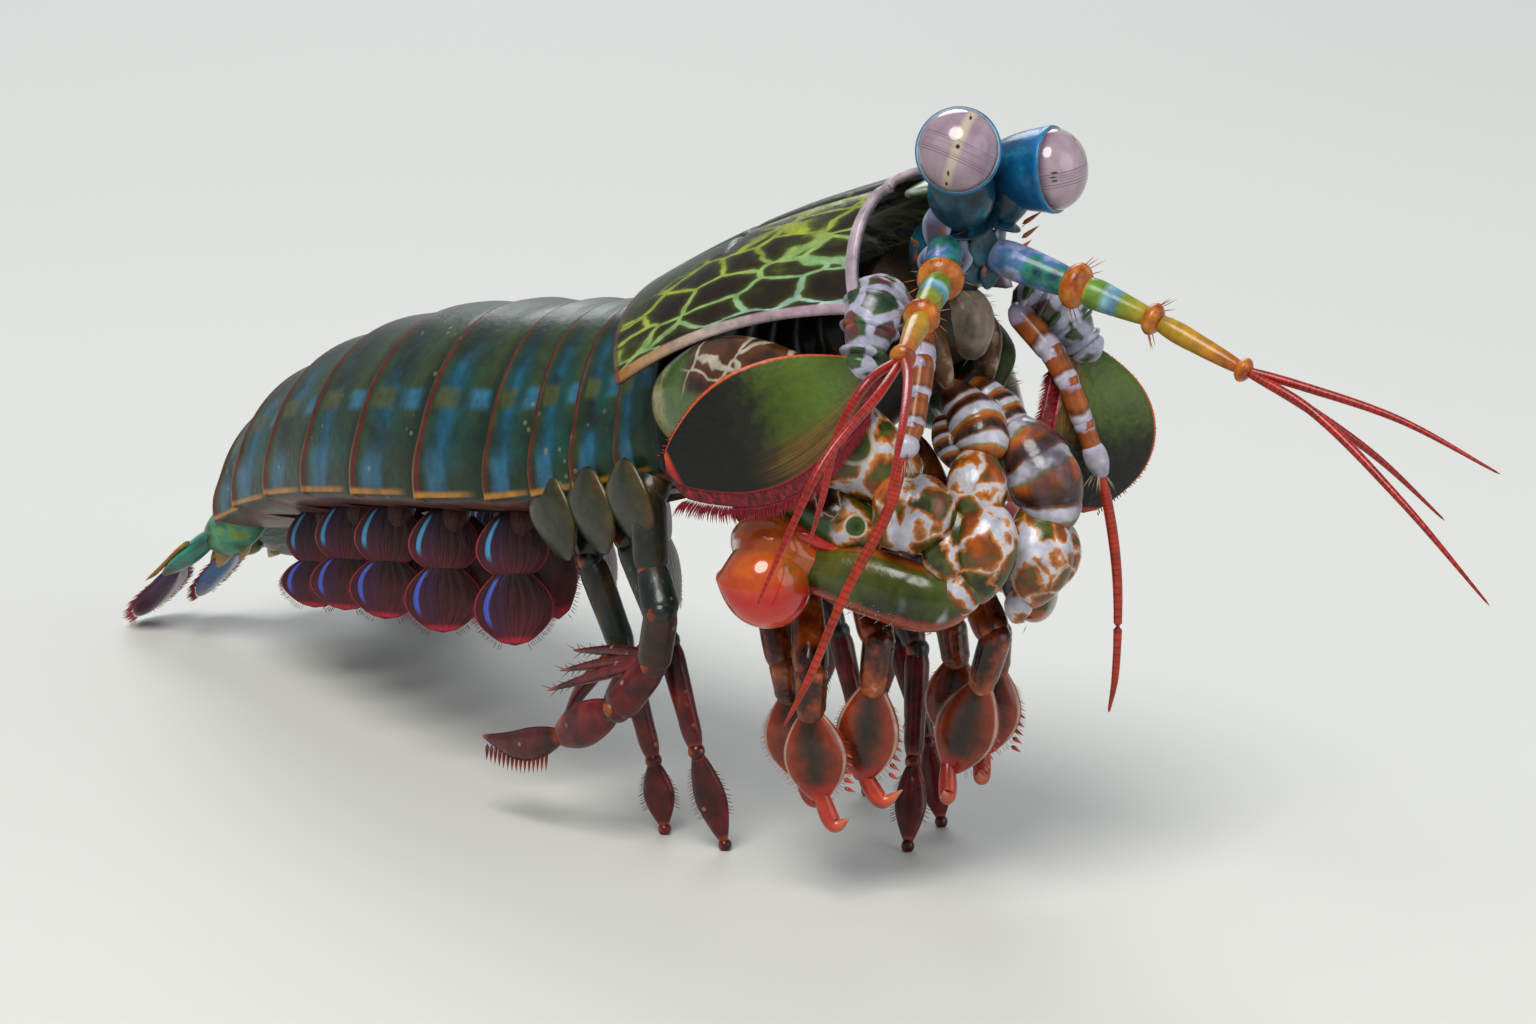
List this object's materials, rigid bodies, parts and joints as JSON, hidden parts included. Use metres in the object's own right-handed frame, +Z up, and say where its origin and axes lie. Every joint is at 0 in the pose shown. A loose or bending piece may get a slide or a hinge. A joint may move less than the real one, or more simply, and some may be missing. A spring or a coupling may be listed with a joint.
{
  "type": "mantis shrimp model",
  "caption": "Still life-size mantis shrimp with spotted shield, stalked eyes, folded clubbed claws, walking legs and tail fan, standing with its front raised.",
  "frame": {"origin": "middle of the bounding box at floor level", "axes": "+Z up, the head towards +X, the animal's left towards +Y; the longest extent is along X"},
  "size_m": [0.1733, 0.0661, 0.0692],
  "materials": {
    "abdomen": "satin teal green, orange rims",
    "antenna": "banded white and orange",
    "antennal_scale": "satin olive with red fringe",
    "antennule": "satin, banded",
    "carapace": "satin olive, leopard spotted sides",
    "club": "very glossy red",
    "cornea": "glossy, finely banded",
    "eye_segment": "satin blue-green",
    "eye_stalk": "satin blue",
    "head": "satin olive brown",
    "maxilliped": "glossy red-brown",
    "pleopod": "satin dark maroon with blue streaks",
    "raptorial_arm": "glossy olive patches",
    "raptorial_fist": "glossy olive and orange",
    "raptorial_wrist": "glossy orange, olive and white",
    "telson": "satin dark green",
    "thorax": "satin teal green",
    "uropod": "green, purple and blue",
    "walking_leg": "satin maroon"
  },
  "bodies": {
    "root": {"abdomen_1": "abdomen", "abdomen_2": "abdomen", "abdomen_3": "abdomen", "abdomen_4": "abdomen", "abdomen_5": "abdomen", "abdomen_6": "abdomen", "antenna_l": "antenna", "antenna_r": "antenna", "antennal_scale_l": "antennal_scale", "antennal_scale_r": "antennal_scale", "antennule_l": "antennule", "antennule_r": "antennule", "carapace": "carapace", "eye_l": "cornea", "eye_r": "cornea", "eye_segment": "eye_segment", "eye_stalk_l": "eye_stalk", "eye_stalk_r": "eye_stalk", "head": "head", "maxilliped_1_l": "maxilliped", "maxilliped_1_r": "maxilliped", "maxilliped_3_l": "maxilliped", "maxilliped_3_r": "maxilliped", "maxilliped_4_l": "maxilliped", "maxilliped_4_r": "maxilliped", "maxilliped_5_l": "maxilliped", "maxilliped_5_r": "maxilliped", "pleopod_1_l": "pleopod", "pleopod_1_r": "pleopod", "pleopod_2_l": "pleopod", "pleopod_2_r": "pleopod", "pleopod_3_l": "pleopod", "pleopod_3_r": "pleopod", "pleopod_4_l": "pleopod", "pleopod_4_r": "pleopod", "pleopod_5_l": "pleopod", "pleopod_5_r": "pleopod", "raptorial_carpus_l": "raptorial_wrist", "raptorial_carpus_r": "raptorial_wrist", "raptorial_dactyl_l": "club", "raptorial_dactyl_r": "club", "raptorial_merus_l": "raptorial_arm", "raptorial_merus_r": "raptorial_arm", "raptorial_propodus_l": "raptorial_fist", "raptorial_propodus_r": "raptorial_fist", "rostrum": "carapace", "telson": "telson", "thorax_5": "thorax", "thorax_6": "thorax", "thorax_7": "thorax", "thorax_8": "thorax", "uropod_l": "uropod", "uropod_r": "uropod", "walking_leg_1_l": "walking_leg", "walking_leg_1_r": "walking_leg", "walking_leg_2_l": "walking_leg", "walking_leg_2_r": "walking_leg", "walking_leg_3_l": "walking_leg", "walking_leg_3_r": "walking_leg"}
  },
  "joints": []
}
